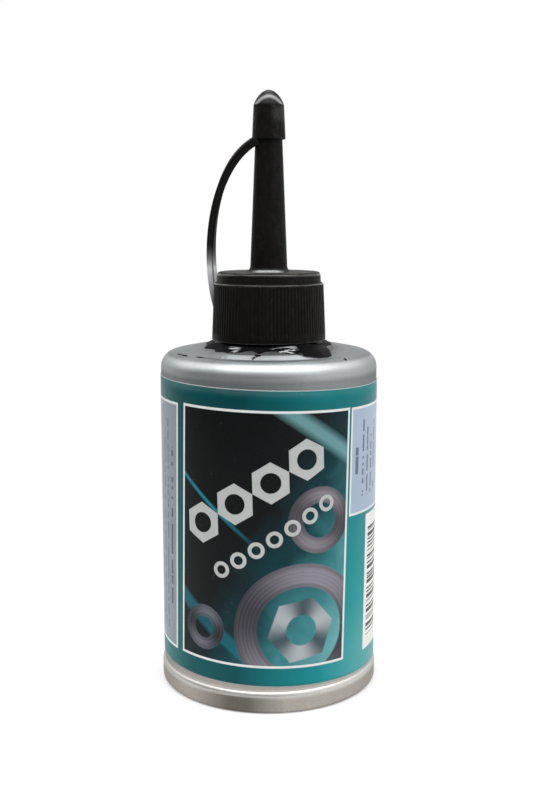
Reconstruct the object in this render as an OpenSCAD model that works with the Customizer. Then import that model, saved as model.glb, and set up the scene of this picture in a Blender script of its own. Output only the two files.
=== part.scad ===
// Squeeze bottle of graphite grease with a screw-on spout and a tethered tip cap.
// The origin is the middle of the foot. +Z is up and the front of the label faces -Y.

/* [Bottle] */
// Outer radius of the body behind the label
body_r = 20.9; // [19:0.1:26]
// Height where the shoulder meets the neck
shoulder_z = 67.4; // [50:0.1:110]
// Wall of the blown body
wall = 1; // [0.7:0.05:1.4]
// Radius of the round shoulder corner
shoulder_round = 3; // [2:0.1:5]
// Slope of the shoulder, in degrees
shoulder_slope = 11; // [6:0.5:14]
// How far the foot bead stands out from the body
bead_out = 0.4; // [0.2:0.05:0.8]
// Height of the foot bead
bead_h = 4.1; // [3:0.1:8]
// Radius of the round foot corner
foot_round = 0.8; // [0.5:0.1:2]
// Width of the flat ring that the bottle stands on
stand_w = 1.2; // [0.6:0.1:2]
// Depth of the hollow under the foot
pushup = 2; // [1:0.1:3]
// Width of the weld line across the hollow under the foot
weld_w = 0.5; // [0.3:0.05:0.8]
// Length of the weld line
weld_len = 16; // [8:0.5:24]

/* [Neck and thread] */
// Radius of the bore of the neck
neck_bore_r = 6.2; // [5:0.1:6.8]
// Wall of the neck
neck_wall = 1.65; // [1.2:0.05:2]
// Height of the neck above the shoulder
neck_h = 10.4; // [9.8:0.1:12.5]
// Rise of the thread in one turn
pitch = 3.175; // [2.9:0.025:3.3]
// How far the neck's thread stands out
thread_depth = 0.95; // [0.7:0.05:1.1]
// Number of turns of each thread
thread_turns = 1.5; // [1:0.25:1.5]

/* [Label] */
// Gap between the foot bead and the label
label_low_gap = 1.1; // [0.8:0.1:6]
// Gap between the label and the start of the round shoulder
label_top_gap = 1.9; // [1:0.1:8]
// Thickness of the label's film
label_t = 0.1; // [0.05:0.01:0.2]
// How far the label is askew, in degrees
label_skew = 1.4; // [0:0.1:2.5]
// Gap between the ends of the label at the back
label_gap = 2; // [0.5:0.1:6]

/* [Filling] */
// Space above the filling, up to the start of the round shoulder
headspace = 4.3; // [2:0.1:20]

/* [Screw cap] */
// Wall of the ribbed skirt at its foot
skirt_wall = 1.95; // [1.6:0.05:2.6]
// How much smaller the skirt's radius is at its top
skirt_draft = 0.48; // [0.2:0.02:0.7]
// Thickness of the top of the screw cap
top_t = 1.65; // [1.2:0.05:2.5]
// Height of the smooth ring above the ribs
ring_h = 1.92; // [1.2:0.02:2.6]
// How far the smooth ring is set in from the skirt
ring_inset = 0.5; // [0.3:0.02:0.8]
// Number of ribs round the skirt
rib_count = 96; // [48:4:120]
// Radius of the grooves between the ribs
rib_groove_r = 0.2; // [0.1:0.01:0.24]
// Thickness of the seal liner
liner_t = 1; // [0.6:0.1:1.5]

/* [Spout] */
// Height of the spout above the screw cap
spout_h = 29.15; // [20:0.05:45]
// Outer radius at the spout's foot
spout_base_r = 3.6; // [3.2:0.05:4.2]
// Outer radius at the spout's tip
spout_tip_r = 2.4; // [2:0.05:2.8]
// Radius of the hollow curve round the spout's foot
spout_fillet = 1.1; // [0.6:0.05:1.6]
// Radius of the outlet
outlet_r = 0.8; // [0.6:0.05:1]
// Length of the straight outlet
outlet_len = 4; // [3:0.1:6]
// Radius of the spout's bore at its foot
spout_bore_r = 2.2; // [1.6:0.05:2.4]

/* [Tip cap] */
// How far the tip cap goes down over the spout
tip_grip = 4.35; // [3.4:0.05:6]
// Wall of the tip cap at its rim
tip_wall = 0.5; // [0.4:0.02:1]
// Height of the tip cap from its rim to its dome
tip_side_h = 6.3; // [5:0.1:8]
// How much smaller the tip cap's radius is below its dome
tip_draft = 0.3; // [0.1:0.02:0.5]
// Height of the dome
dome_h = 2.75; // [2:0.05:3.5]
// Length of the pin that stops the outlet
pin_len = 2; // [1:0.1:2.5]

/* [Strap] */
// Width of the strap
strap_w = 2; // [1.4:0.1:2.6]
// Thickness of the strap
strap_t = 1.45; // [1:0.05:1.8]
// Thickness of the strap where it meets the tip cap
strap_end_t = 1.6; // [1.2:0.05:2]
// Height of the strap's root above the foot of the screw cap
root_up = 3.1; // [2.6:0.1:4]
// Direction of the strap's root round the bottle, in degrees
root_turn = 140; // [110:1:160]
// Direction of the strap's end on the tip cap, in degrees
end_turn = 200; // [185:1:215]
// How steeply the strap leaves its root, in degrees
root_rise = 58; // [54:1:75]
// How steeply the strap meets the tip cap, in degrees
end_rise = 32.5; // [25:0.5:45]
// How far the root's direction carries, as a share of the strap's span
root_pull_share = 0.25; // [0.2:0.005:0.45]
// How far the end's direction carries, as a share of the strap's span
end_pull_share = 0.33; // [0.2:0.005:0.4]

/* [Hidden] */
$fn = 96;

// Clearances
glue_t = 0.02;
fill_gap = 0.1;
thread_gap = 0.25;
liner_gap = 0.2;
push_gap = 0.1;
pin_gap = 0.05;
foot_gap = 0.25;
strap_gap = 0.2;
smear_gap = 0.05;
overrun = 1;

// Bottle
foot_r = body_r + bead_out;
stand_out_r = foot_r - foot_round;
stand_in_r = stand_out_r - stand_w;
floor_round = 1.2;
weld_h = 0.3;
dome_rings = 8;
shoulder_end_deg = 90 - shoulder_slope;
corner_r = body_r - shoulder_round;
rim_round = 0.3;

// Neck
neck_r = neck_bore_r + neck_wall;
thread_r = neck_r + thread_depth;
rim_z = shoulder_z + neck_h;
thread_root_w = 1.9;
thread_crest_w = 0.9;
thread_below_rim = 2.3;
cap_thread_root_w = 1.3;
cap_thread_crest_w = 0.5;
thread_sink = 0.4;
thread_steps = 30;
lead_turns = 0.15;
lead_end_share = 0.25;

// Label and filling
corner_z = corner_centre()[1];
fill_z = corner_z - headspace;
label_low_z = bead_h + label_low_gap;
label_h = corner_z - label_top_gap - label_low_z;

// Screw cap
skirt_in_r = thread_r + thread_gap;
skirt_r = skirt_in_r + skirt_wall;
skirt_top_r = skirt_r - skirt_draft;
skirt_foot_z = shoulder_at(skirt_in_r) + foot_gap;
cap_in_z = rim_z + liner_t;
cap_top_z = cap_in_z + top_t;
skirt_top_z = cap_top_z - ring_h;
skirt_h = skirt_top_z - skirt_foot_z;
skirt_draft_deg = atan(skirt_draft / skirt_h);
skirt_edge = 0.2;
skirt_shoulder = 0.28;
skirt_lead = 0.6;
ring_r = skirt_top_r - ring_inset;
ring_draft = 0.1;
ring_edge = 0.65;
rib_bottom = 0.8;
rib_top = 0.3;
liner_over = 0.15;
liner_r = neck_r + liner_over;
seat_r = liner_r + liner_gap;
seat_h = 1.9;
liner_hole_r = 3;

// Spout and tip cap
spout_z = cap_top_z + spout_h;
spout_edge = 0.2;
tip_rim_z = spout_z - tip_grip;
socket_rim_r = spout_at(tip_rim_z) + push_gap;
socket_top_r = spout_tip_r + push_gap;
tip_rim_r = socket_rim_r + tip_wall;
tip_dome_z = tip_rim_z + tip_side_h;
tip_dome_r = tip_rim_r - tip_draft;
dome_step = 0.03;
dome_power = 1.65;
pin_r = outlet_r - pin_gap;
pin_point_share = 0.5;
pin_taper_share = 0.25;

// Strap
root_r = skirt_r + strap_gap + strap_t / 2;
root_z = skirt_foot_z + root_up;
end_r = tip_rim_r + strap_gap;
end_drop = 0.75;
end_z = tip_rim_z - end_drop;
strap_chamfer = 0.25;
strap_steps = 30;
strap_flare_power = 2;
lug_len = 2.2;
lug_reach = 1.6;
lug_cheek = 0.2;
end_lug_len = 1.1;

// Smear round the foot of the screw cap
smear_tuck = 0.4;
smear_in_r = skirt_r - smear_tuck;
smear_reach = 0.9;
smear_h = 0.35;
smear_lip = 0.12;
smear_crest_share = 0.35;
smear_brow_share = 0.6;
smear_steps = 90;
// Lumps: direction, spread in degrees, then reach and height as shares of the plain smear's
lump_shares = [[305, 17, 4.6, 2.2], [283, 10, 0.7, 0.6], [262, 5, 1.6, 0.3], [236, 14, 2.2, 0.6],
               [210, 14, 0.9, 1.1], [120, 25, 0.5, 0.4], [40, 20, 0.6, 0.5]];

// Points of an arc about a centre
function arc(centre, r, from, to, steps) =
    [for (i = [0 : steps]) let (a = from + (to - from) * i / steps) centre + r * [cos(a), sin(a)]];

// Height of the shoulder's sloping face at a radius
function shoulder_at(r) = shoulder_z - (r - neck_r) * tan(shoulder_slope);

// Centre of the round shoulder corner, where its arc runs into the slope
function corner_centre() =
    let (r = corner_r + shoulder_round * sin(shoulder_slope))
    [corner_r, shoulder_at(r) - shoulder_round * cos(shoulder_slope)];

// Outer radius of the spout at a height
function spout_at(z) = spout_base_r + (spout_tip_r - spout_base_r) * (z - cap_top_z) / spout_h;

// A dome as high as the hollow under the foot, from its middle down to its edge
function hollow(edge_r, edge_z) =
    let (r = (edge_r * edge_r + pushup * pushup) / (2 * pushup))
    arc([0, edge_z + pushup - r], r, 90, asin((r - pushup) / r), dome_rings);

// Inner outline from the middle of the floor to the top of the straight wall, less a gap
function inner_outline(gap) =
    let (t = wall + gap, r = body_r - t)
    concat(hollow(r - floor_round, t),
           arc([r - floor_round, t + floor_round], floor_round, -90, 0, 5));

module bottle_outline() {
    centre = corner_centre();
    slope_in_z = shoulder_at(neck_bore_r) - wall / cos(shoulder_slope);
    polygon(concat(
        hollow(stand_in_r, 0),
        arc([stand_out_r, foot_round], foot_round, -90, 0, 6),
        arc([body_r, bead_h - bead_out], bead_out, 0, 90, 4),
        arc(centre, shoulder_round, 0, shoulder_end_deg, 12),
        [[neck_r, shoulder_z]],
        arc([neck_r - rim_round, rim_z - rim_round], rim_round, 0, 90, 3),
        [[neck_bore_r, rim_z], [neck_bore_r, slope_in_z]],
        arc(centre, shoulder_round - wall, shoulder_end_deg, 0, 12),
        reverse(inner_outline(0))));
}

function reverse(list) = [for (i = [len(list) - 1 : -1 : 0]) list[i]];

// A helical ridge: each ring has its two edges on the wall and its two on the crest
module thread(wall_r, crest_r, wall_w, crest_w, z) {
    sink_r = wall_r + (wall_r > crest_r ? thread_sink : -thread_sink);
    count = round(thread_steps * thread_turns);
    lead = round(thread_steps * lead_turns);
    points = [for (i = [0 : count])
        let (a = 360 * thread_turns * i / count,
             zc = z + pitch * thread_turns * i / count,
             rise = lead_end_share + (1 - lead_end_share) * min(1, i / lead, (count - i) / lead),
             r = wall_r + (crest_r - wall_r) * rise)
        each [[sink_r * cos(a), sink_r * sin(a), zc - wall_w / 2],
              [r * cos(a), r * sin(a), zc - crest_w / 2],
              [r * cos(a), r * sin(a), zc + crest_w / 2],
              [sink_r * cos(a), sink_r * sin(a), zc + wall_w / 2]]];
    tube(points, 4, count, wall_r < crest_r);
}

// Closed skin over rings of points, each ring with the same number of corners
module tube(points, corners, count, flip) {
    skin = [for (i = [0 : count - 1], j = [0 : corners - 1])
        let (k = (j + 1) % corners, a = i * corners, b = a + corners)
        each [[a + j, a + k, b + k], [a + j, b + k, b + j]]];
    ends = [[for (j = [corners - 1 : -1 : 0]) j], [for (j = [0 : corners - 1]) count * corners + j]];
    faces = concat(skin, ends);
    polyhedron(points, [for (f = faces) flip ? f : reverse(f)], convexity = 6);
}

module bottle() {
    color([0.58, 0.60, 0.62]) {
        rotate_extrude() bottle_outline();
        neck_thread();
        weld_line();
    }
}

module neck_thread() {
    thread(neck_r, thread_r, thread_root_w, thread_crest_w,
           rim_z - thread_below_rim - pitch * thread_turns);
}

// The pinched weld line that a blow mould leaves in the hollow of the foot
module weld_line() {
    intersection() {
        rotate_extrude()
            polygon(concat(hollow(stand_in_r, -weld_h), reverse(hollow(stand_in_r, wall / 2))));
        translate([-weld_len / 2, -weld_w / 2, 0]) cube([weld_len, weld_w, pushup + wall]);
    }
}

module label() {
    label_r = body_r + glue_t;
    color([0.06, 0.42, 0.44]) intersection() {
        difference() {
            cylinder(h = shoulder_z, r = label_r + label_t);
            translate([0, 0, -overrun]) cylinder(h = shoulder_z + 2 * overrun, r = label_r);
            translate([-label_gap / 2, 0, -overrun])
                cube([label_gap, label_r + label_t + overrun, shoulder_z + 2 * overrun]);
        }
        translate([0, 0, label_low_z + label_h / 2]) rotate([0, label_skew, 0])
            cube([4 * body_r, 4 * body_r, label_h], center = true);
    }
}

module graphite_grease() {
    color([0.09, 0.09, 0.1]) rotate_extrude()
        polygon(concat(inner_outline(fill_gap),
                       [[body_r - wall - fill_gap, fill_z], [0, fill_z]]));
}

module seal_liner() {
    color([0.9, 0.9, 0.87]) translate([0, 0, rim_z]) difference() {
        cylinder(h = liner_t, r = liner_r);
        translate([0, 0, -overrun]) cylinder(h = liner_t + 2 * overrun, r = liner_hole_r);
    }
}

module nozzle_outline() {
    polygon(concat(
        [[skirt_in_r + skirt_lead, skirt_foot_z]],
        arc([skirt_r - skirt_edge, skirt_foot_z + skirt_edge], skirt_edge, -90, 0, 3),
        [[skirt_top_r, skirt_top_z - skirt_shoulder], [ring_r, skirt_top_z]],
        arc([ring_r - ring_draft - ring_edge, cap_top_z - ring_edge], ring_edge, 0, 90, 4),
        arc([spout_base_r + spout_fillet, cap_top_z + spout_fillet], spout_fillet, -90, -180, 6),
        arc([spout_tip_r - spout_edge, spout_z - spout_edge], spout_edge, 0, 90, 3),
        [[outlet_r, spout_z], [outlet_r, spout_z - outlet_len], [spout_bore_r, cap_top_z],
         [spout_bore_r, cap_in_z], [seat_r, cap_in_z], [seat_r, cap_in_z - seat_h],
         [skirt_in_r, cap_in_z - seat_h - (skirt_in_r - seat_r)],
         [skirt_in_r, skirt_foot_z + skirt_lead]]));
}

module rib_grooves() {
    groove_h = skirt_h - rib_bottom - rib_top - skirt_shoulder;
    groove_r = skirt_r - skirt_draft * rib_bottom / skirt_h;
    for (i = [0 : rib_count - 1])
        rotate([0, 0, 360 * i / rib_count]) translate([groove_r, 0, skirt_foot_z + rib_bottom])
            rotate([0, -skirt_draft_deg, 0]) cylinder(h = groove_h, r = rib_groove_r, $fn = 16);
}

module cap_thread() {
    bearing = 0.15;
    thread(skirt_in_r, neck_r + thread_gap, cap_thread_root_w, cap_thread_crest_w,
           rim_z - thread_below_rim - pitch * (thread_turns + 0.5) + bearing);
}

// The lug behind the skirt that the strap grows out of
module strap_lug() {
    translate([root_r * cos(root_turn), root_r * sin(root_turn), root_z])
        rotate([0, 90 - root_rise, root_turn])
            translate([-lug_reach, -strap_w / 2 - lug_cheek, -lug_len])
                cube([lug_reach + strap_t / 2, strap_w + 2 * lug_cheek, lug_len]);
}

module nozzle_cap() {
    color([0.1, 0.1, 0.1]) {
        difference() {
            rotate_extrude() nozzle_outline();
            rib_grooves();
        }
        cap_thread();
        strap_lug();
    }
}

// The strap's route, a cubic curve whose ends lie in planes through the bottle's axis
function turned(a, rise) = [cos(rise) * cos(a), cos(rise) * sin(a), sin(rise)];
root_at = [root_r * cos(root_turn), root_r * sin(root_turn), root_z];
end_at = [end_r * cos(end_turn), end_r * sin(end_turn), end_z];
strap_span = norm(end_at - root_at);
root_pull_at = root_at + root_pull_share * strap_span * turned(root_turn, root_rise);
end_pull_at = end_at + end_pull_share * strap_span * turned(end_turn, -end_rise);

function strap_point(t) =
    pow(1 - t, 3) * root_at + 3 * pow(1 - t, 2) * t * root_pull_at
    + 3 * (1 - t) * t * t * end_pull_at + pow(t, 3) * end_at;

function strap_slope(t) =
    let (v = pow(1 - t, 2) * (root_pull_at - root_at) + 2 * (1 - t) * t * (end_pull_at - root_pull_at)
             + t * t * (end_at - end_pull_at))
    v / norm(v);

// Corners of the strap's section at a share of the route
function strap_ring(t) =
    let (p = strap_point(t),
         d = strap_slope(t),
         a = root_turn + (end_turn - root_turn) * t,
         side = [-sin(a), cos(a), 0],
         across = (side - (side * d) * d) / norm(side - (side * d) * d),
         up = cross(d, across),
         w = strap_w / 2,
         h = (strap_t + (strap_end_t - strap_t) * pow(t, strap_flare_power)) / 2,
         c = strap_chamfer)
    [for (q = [[w - c, h], [w, h - c], [w, c - h], [w - c, -h], [c - w, -h], [-w, c - h], [-w, h - c],
               [c - w, h]])
        p + q[0] * across + q[1] * up];

module tether_strap() {
    color([0.1, 0.1, 0.1])
        tube([for (i = [0 : strap_steps]) each strap_ring(i / strap_steps)], 8, strap_steps, false);
}

module tip_lug() {
    translate(end_at) rotate([0, -end_rise, end_turn + 180])
        translate([0, -strap_w / 2, -strap_end_t / 2]) cube([end_lug_len, strap_w, strap_end_t]);
}

// Outline of the dome: with a power of 1 it is an ellipse, and with 2 a parabola
function dome_outline(r) =
    [for (a = [0 : 7.5 : 90]) [r * cos(a), tip_dome_z + dome_h * pow(sin(a), dome_power)]];

module tip_cap() {
    pin_taper = pin_len * pin_taper_share;
    color([0.09, 0.09, 0.09]) {
        difference() {
            union() {
                rotate_extrude() polygon(concat(
                    [[0, tip_rim_z], [tip_rim_r, tip_rim_z], [tip_dome_r, tip_dome_z]],
                    dome_outline(tip_dome_r - dome_step)));
                tip_lug();
            }
            translate([0, 0, tip_rim_z - end_drop - overrun])
                cylinder(h = end_drop + overrun, r = socket_rim_r + push_gap);
            translate([0, 0, tip_rim_z]) cylinder(h = tip_grip, r1 = socket_rim_r, r2 = socket_top_r);
        }
        translate([0, 0, spout_z - pin_len])
            cylinder(h = pin_taper, r1 = pin_r * pin_point_share, r2 = pin_r);
        translate([0, 0, spout_z - pin_len + pin_taper]) cylinder(h = pin_len - pin_taper, r = pin_r);
    }
}

// One item of the lump shares added up at a direction, each lump fading out to its sides
function lumps(a, item, i = 0) =
    i == len(lump_shares) ? 0 :
    let (s = lump_shares[i], off = (a - s[0] + 540) % 360 - 180)
    s[item] * exp(-off * off / (s[1] * s[1])) + lumps(a, item, i + 1);

function smear_ring(a) =
    let (out_r = skirt_r + smear_reach * (1 + lumps(a, 2)),
         crest_r = skirt_r + smear_gap + smear_crest_share * (out_r - skirt_r),
         crest_h = smear_h * (1 + lumps(a, 3)))
    [for (q = [[smear_in_r, 0], [smear_in_r, smear_lip], [skirt_r + smear_gap, smear_lip],
               [crest_r, crest_h], [(crest_r + out_r) / 2, smear_brow_share * crest_h], [out_r, 0]])
        [q[0] * cos(a), q[0] * sin(a), shoulder_at(q[0]) + smear_gap + q[1]]];

module grease_residue() {
    corners = 6;
    rings = [for (i = [0 : smear_steps - 1]) each smear_ring(360 * i / smear_steps)];
    skin = [for (i = [0 : smear_steps - 1], j = [0 : corners - 1])
        let (k = (j + 1) % corners, a = i * corners, b = ((i + 1) % smear_steps) * corners)
        each [[a + j, a + k, b + k], [a + j, b + k, b + j]]];
    color([0.05, 0.05, 0.06]) polyhedron(rings, skin, convexity = 6);
}

bottle();
label();
graphite_grease();
seal_liner();
nozzle_cap();
tether_strap();
tip_cap();
grease_residue();
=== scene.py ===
import bmesh
import bpy
import numpy as np
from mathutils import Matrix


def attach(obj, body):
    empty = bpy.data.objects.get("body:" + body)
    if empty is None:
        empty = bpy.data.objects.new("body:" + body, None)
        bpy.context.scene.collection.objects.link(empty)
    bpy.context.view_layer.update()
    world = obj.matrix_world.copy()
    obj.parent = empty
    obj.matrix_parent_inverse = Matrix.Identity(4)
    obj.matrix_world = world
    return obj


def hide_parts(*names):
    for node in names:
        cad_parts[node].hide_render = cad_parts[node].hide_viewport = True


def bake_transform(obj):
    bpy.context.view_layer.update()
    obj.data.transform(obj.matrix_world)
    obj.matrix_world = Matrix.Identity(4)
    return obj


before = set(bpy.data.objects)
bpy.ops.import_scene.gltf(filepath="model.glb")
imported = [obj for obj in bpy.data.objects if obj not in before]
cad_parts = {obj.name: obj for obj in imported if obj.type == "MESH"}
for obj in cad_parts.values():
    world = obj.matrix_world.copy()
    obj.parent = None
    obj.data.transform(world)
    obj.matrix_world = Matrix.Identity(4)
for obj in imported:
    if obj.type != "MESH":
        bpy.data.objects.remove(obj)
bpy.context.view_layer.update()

MM = 0.001

# Sizes in millimetres. They are the solids', but for some of the scene's own: the bead's side and round, the
# share of the grooves' depth, and the label's lift.

BODY_R = 20.9
FOOT_R = 21.3
BEAD_H = 4.1
BEAD_SIDE_Z = 3.744
BEAD_ROUND = 1.1
FOOT_ROUND = 0.8
STAND_IN_R = 19.3
PUSHUP = 2.0
WALL = 1.0
FLOOR_ROUND = 1.2
WELD_LEN = 16.0
WELD_W = 0.5
WELD_H = 0.3

SHOULDER_Z = 67.4
SHOULDER_SLOPE = np.radians(11.0)
SHOULDER_ROUND = 3.0
CORNER_R = BODY_R - SHOULDER_ROUND
NECK_R = 7.85
NECK_BORE_R = 6.2
RIM_Z = 77.8
PITCH = 3.175
THREAD_TURNS = 1.5
THREAD_BELOW_RIM = 2.3
THREAD_DEPTH = 0.95
THREAD_W = (1.9, 0.9)
CAP_THREAD_W = (1.3, 0.5)
THREAD_GAP = 0.25
CAP_THREAD_UP = 0.15

SKIRT_IN_R = 9.05
SKIRT_R = 11.0
SKIRT_TOP_R = 10.52
SKIRT_SHOULDER = 0.28
SKIRT_LEAD = 0.6
FOOT_GAP = 0.25
SEAT_R = 8.2
SEAT_H = 1.9
CAP_IN_Z = 78.8
CAP_TOP_Z = 80.45
SKIRT_TOP_Z = 78.53
RING_R = 10.02
RING_DRAFT = 0.1
RING_EDGE = 0.65
RIB_COUNT = 96
GROOVE_R = 0.2
GROOVE_SHARE = 0.5
RIB_BOTTOM = 0.8
RIB_TOP = 0.58

SPOUT_BASE_R = 3.6
SPOUT_TIP_R = 2.4
SPOUT_Z = 109.6
SPOUT_FILLET = 1.1
OUTLET_R = 0.8
OUTLET_LEN = 4.0
SPOUT_BORE_R = 2.2

TIP_RIM_Z = 105.25
TIP_RIM_R = 3.179
TIP_DOME_Z = 111.55
TIP_DOME_R = 2.879
DOME_STEP = 0.03
DOME_POWER = 1.65
DOME_H = 2.75
SOCKET_RIM_R = 2.679
SOCKET_TOP_R = 2.5
PIN_R = 0.75
PIN_LEN = 2.0

STRAP_W = 2.0
STRAP_T = 1.45
STRAP_END_T = 1.6
ROOT_R = 11.925
ROOT_UP = 3.1
ROOT_TURN = 140.0
ROOT_RISE = 58.0
ROOT_PULL = 0.25
END_R = 3.379
END_TURN = 200.0
END_RISE = 32.5
END_PULL = 0.33
END_Z = 104.5
LUG_LEN = 2.2
LUG_REACH = 1.6
LUG_CHEEK = 0.2
END_LUG_LEN = 1.1

LABEL_IN_R = 20.92
LABEL_OUT_R = 21.02
LABEL_LOW_Z = 5.2
LABEL_HIGH_Z = 60.49
LABEL_SKEW = np.radians(1.4)
LABEL_GAP = 2.0
LABEL_LIFT = 0.22

FULL_TURN = 2 * np.pi
ROUND_COLUMNS = 288


def shoulder_slope_z(r):
    """Height of the shoulder's sloping face: it falls from the neck by the tangent of its slope."""
    return SHOULDER_Z - (r - NECK_R) * np.tan(SHOULDER_SLOPE)


SKIRT_FOOT_Z = shoulder_slope_z(SKIRT_IN_R) + FOOT_GAP
SLOPE_END_R = CORNER_R + SHOULDER_ROUND * np.sin(SHOULDER_SLOPE)
CORNER_Z = shoulder_slope_z(SLOPE_END_R) - SHOULDER_ROUND * np.cos(SHOULDER_SLOPE)
ROOT_Z = SKIRT_FOOT_Z + ROOT_UP


def shoulder_z(r):
    """Height of the shoulder at a radius: its slope, and past that the circle of its round corner."""
    over = np.clip(r - CORNER_R, 0, SHOULDER_ROUND)
    rounded = CORNER_Z + np.sqrt(SHOULDER_ROUND ** 2 - over ** 2)
    return np.where(r < SLOPE_END_R, shoulder_slope_z(r), rounded)


# Outlines and grids

SUPPORT = 0.12
ARC_STEPS = 7


def outline(corners, closed=False):
    """Line through corners (r, z, round). An arc touches both sides of its corner, so it starts its radius
    over the tangent of half the corner's angle away. One more point stands just outside each of its ends."""
    spots = np.array([c[:2] for c in corners], float)
    rounds = np.array([c[2] for c in corners], float)
    back = np.roll(spots, 1, 0) - spots
    on = np.roll(spots, -1, 0) - spots
    back_len = np.linalg.norm(back, axis=1)
    on_len = np.linalg.norm(on, axis=1)
    back /= back_len[:, None]
    on /= on_len[:, None]
    if not closed:
        rounds[[0, -1]] = 0
    half = np.arccos(np.clip((back * on).sum(1), -1, 1)) / 2
    reach = rounds / np.tan(half)
    free_on = on_len - reach - np.roll(reach, -1)
    pad_on = np.minimum(SUPPORT, 0.3 * free_on)
    pad_back = np.roll(pad_on, 1)
    line = []
    for i, spot in enumerate(spots):
        if rounds[i] == 0:
            line.append(spot[None])
            continue
        middle = back[i] + on[i]
        centre = spot + middle / np.linalg.norm(middle) * rounds[i] / np.sin(half[i])
        start = spot + back[i] * reach[i] - centre
        end = spot + on[i] * reach[i] - centre
        first = np.arctan2(start[1], start[0])
        turn = (np.arctan2(end[1], end[0]) - first + np.pi) % FULL_TURN - np.pi
        angles = first + turn * np.linspace(0, 1, ARC_STEPS + 1)
        line.append((spot + back[i] * (reach[i] + pad_back[i]))[None])
        line.append(centre + rounds[i] * np.stack([np.cos(angles), np.sin(angles)], 1))
        line.append((spot + on[i] * (reach[i] + pad_on[i]))[None])
    return np.vstack(line)


def foot_dome(edge_r, edge_z, steps=12):
    """Corners of the dome under the foot, from the axis outwards: a circle as high as the push-up."""
    ball = (edge_r ** 2 + PUSHUP ** 2) / (2 * PUSHUP)
    angles = np.linspace(np.pi / 2, np.arcsin((ball - PUSHUP) / ball), steps + 1)
    return [(ball * np.cos(a), edge_z + PUSHUP - ball + ball * np.sin(a), 0) for a in angles]


def lathe(line, angles):
    """Outline turned about the axis: x is r times the cosine and y is r times the sine of each angle."""
    r, z = line.T
    return np.stack([np.outer(r, np.cos(angles)), np.outer(r, np.sin(angles)),
                     np.repeat(z[:, None], len(angles), 1)], axis=2)


def round_angles(count=ROUND_COLUMNS):
    return np.linspace(0, FULL_TURN, count, endpoint=False)


def skin(grid, loop_rows=False, loop_columns=True):
    """Points of a grid and its four-sided faces. A looped side meets its own start."""
    rows, columns = grid.shape[:2]
    i = np.arange(rows if loop_rows else rows - 1)[:, None]
    j = np.arange(columns if loop_columns else columns - 1)[None]
    below = (i + 1) % rows
    beside = (j + 1) % columns
    faces = np.stack([i * columns + j, i * columns + beside,
                      below * columns + beside, below * columns + j], -1)
    return grid.reshape(-1, 3), faces.reshape(-1, 4)


def with_ends(grid):
    """Tube grid with each end drawn in to the middle of its last ring, so it closes in a pole."""
    first = grid[:1].mean(1, keepdims=True)
    last = grid[-1:].mean(1, keepdims=True)
    shares = np.array([0.0, 0.55, 0.85])[:, None, None]
    low = first + (grid[:1] - first) * shares
    high = last + (grid[-1:] - last) * shares[::-1]
    return np.concatenate([low, grid, high])


def piece(name, parts, body, finish, stands_for=()):
    """Mesh object from grids in millimetres. Doubles at poles and seams merge, and faces face outwards."""
    counts = [len(points) for points, faces in parts]
    starts = np.cumsum([0] + counts[:-1])
    points = np.vstack([points for points, faces in parts]) * MM
    faces = np.vstack([faces + start for (points_, faces), start in zip(parts, starts)])
    mesh = bpy.data.meshes.new(name)
    mesh.from_pydata(points.tolist(), [], faces.tolist())
    shell = bmesh.new()
    shell.from_mesh(mesh)
    bmesh.ops.remove_doubles(shell, verts=shell.verts, dist=0.0005 * MM)
    bmesh.ops.recalc_face_normals(shell, faces=shell.faces)
    shell.to_mesh(mesh)
    shell.free()
    mesh.shade_smooth()
    made = bpy.data.objects.new(name, mesh)
    bpy.context.scene.collection.objects.link(made)
    mesh.materials.append(finish)
    if body:
        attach(made, body)
    if stands_for:
        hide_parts(*stands_for)
    return made


# Shader nodes written as sums

class Wire:
    """A value in a shader. Sums, products and quotients of it add their own nodes."""

    def __init__(self, finish, socket):
        self.finish = finish
        self.socket = socket

    def __add__(self, other):
        return self.finish.math("ADD", self, other)

    __radd__ = __add__

    def __sub__(self, other):
        return self.finish.math("SUBTRACT", self, other)

    def __rsub__(self, other):
        return self.finish.math("SUBTRACT", other, self)

    def __mul__(self, other):
        return self.finish.math("MULTIPLY", self, other)

    __rmul__ = __mul__

    def __truediv__(self, other):
        return self.finish.math("DIVIDE", self, other)

    def __neg__(self):
        return self.finish.math("MULTIPLY", self, -1.0)

    def __abs__(self):
        return self.finish.math("ABSOLUTE", self)


def linear(red, green, blue):
    """Screen colour from 0 to 255 as the light it stands for: the power 2.4 curve with its straight foot."""
    share = np.array([red, green, blue]) / 255
    curve = np.where(share <= 0.04045, share / 12.92, ((share + 0.055) / 1.055) ** 2.4)
    return (*[float(c) for c in curve], 1.0)


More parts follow.
